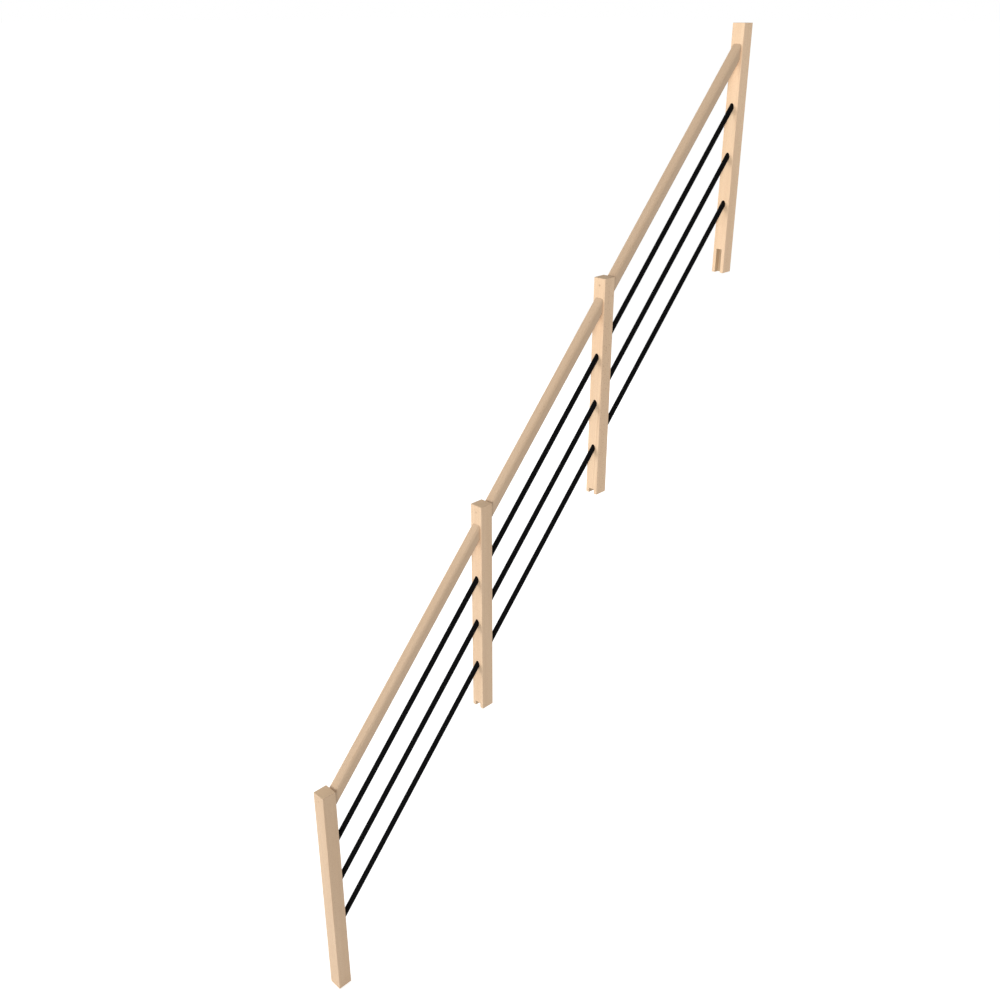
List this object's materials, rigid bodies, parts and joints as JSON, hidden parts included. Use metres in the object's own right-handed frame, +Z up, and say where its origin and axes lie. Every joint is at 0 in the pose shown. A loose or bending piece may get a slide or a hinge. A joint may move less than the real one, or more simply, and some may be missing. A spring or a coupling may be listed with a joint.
{
  "type": "stair balustrade panel",
  "caption": "Pitched stair balustrade: square timber posts on one slope, a rounded handrail butted between them and round black steel bars in every bay below it.",
  "frame": {"origin": "centre of the bottom post's foot, on its flat under face", "axes": "+X up the stair, +Y across the stair, +Z up"},
  "size_m": [2.4545, 0.06, 3.6684],
  "materials": {
    "post_timber": "planed and sanded pale hardwood with a thin clear satin coat",
    "rail_timber": "planed and sanded pale hardwood with rounded edges and a thin clear satin coat",
    "bar_enamel": "satin black powder coat on steel tube"
  },
  "bodies": {
    "root": {"bottom_post": "post_timber", "lower_middle_post": "post_timber", "upper_middle_post": "post_timber", "top_post": "post_timber", "bottom_post_downhill_plug": "post_timber", "lower_middle_post_downhill_plug": "post_timber", "upper_middle_post_downhill_plug": "post_timber", "lower_middle_post_uphill_plug": "post_timber", "upper_middle_post_uphill_plug": "post_timber", "top_post_uphill_plug": "post_timber", "lower_handrail": "rail_timber", "middle_handrail": "rail_timber", "upper_handrail": "rail_timber", "lower_bay_top_bar": "bar_enamel", "lower_bay_middle_bar": "bar_enamel", "lower_bay_bottom_bar": "bar_enamel", "middle_bay_top_bar": "bar_enamel", "middle_bay_middle_bar": "bar_enamel", "middle_bay_bottom_bar": "bar_enamel", "upper_bay_top_bar": "bar_enamel", "upper_bay_middle_bar": "bar_enamel", "upper_bay_bottom_bar": "bar_enamel"}
  },
  "joints": []
}
